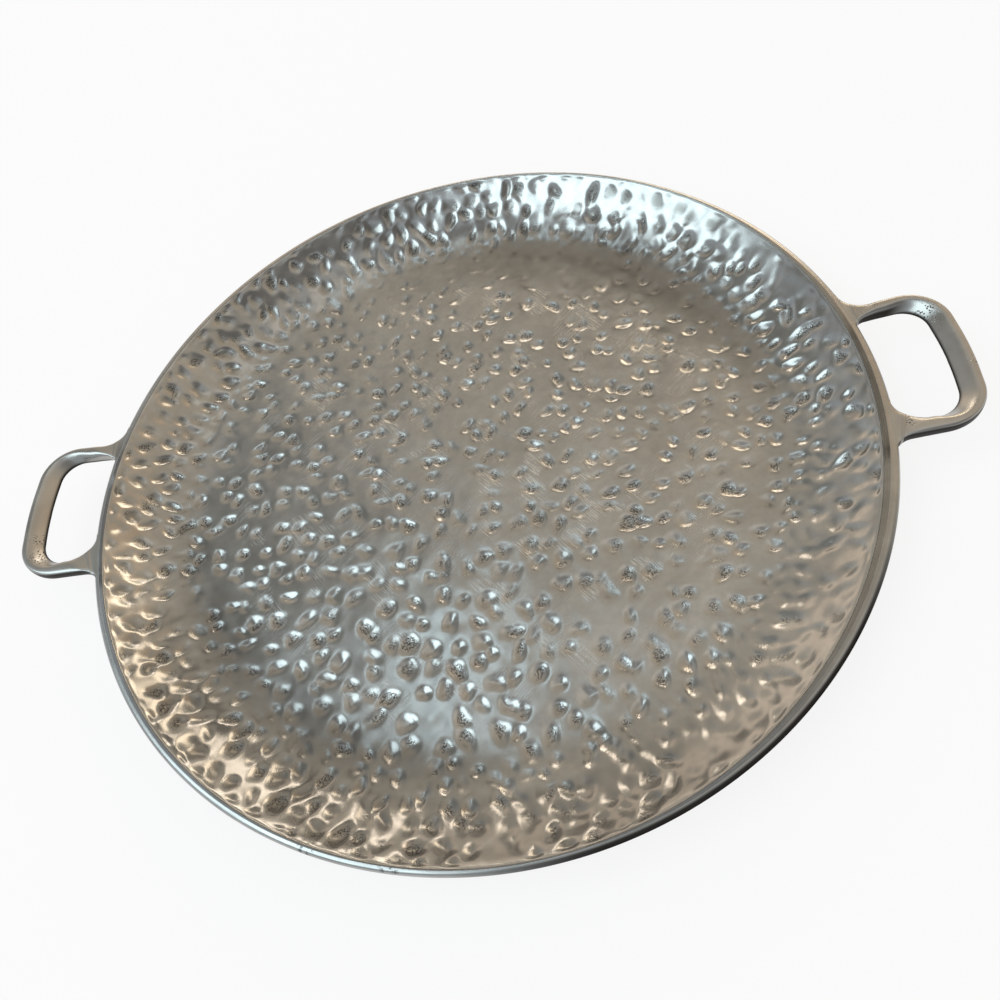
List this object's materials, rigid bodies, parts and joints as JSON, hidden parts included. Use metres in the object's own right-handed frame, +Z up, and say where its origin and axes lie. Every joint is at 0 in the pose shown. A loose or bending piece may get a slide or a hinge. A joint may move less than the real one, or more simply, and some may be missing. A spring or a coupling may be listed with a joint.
{
  "type": "serving tray",
  "caption": "Round shallow serving tray of hammered cast aluminium with a sloping wall, a flat rim band and a fixed loop handle on each side.",
  "frame": {"origin": "centre of the flat underside that the tray stands on", "axes": "+Z up out of the well, +X out through the middle of the right handle, +Y to the rear"},
  "size_m": [0.4862, 0.406, 0.0313],
  "materials": {
    "hammered_aluminium": "hand-hammered casting, worn satin lands and grainy dents",
    "satin_aluminium": "linished satin casting with a few small pits",
    "weld_aluminium": "weld metal dressed flush, slightly pitted"
  },
  "bodies": {
    "root": {"dish": "hammered_aluminium", "left_handle": "satin_aluminium", "right_handle": "satin_aluminium", "left_handle_front_weld": "weld_aluminium", "left_handle_rear_weld": "weld_aluminium", "right_handle_front_weld": "weld_aluminium", "right_handle_rear_weld": "weld_aluminium"}
  },
  "joints": []
}
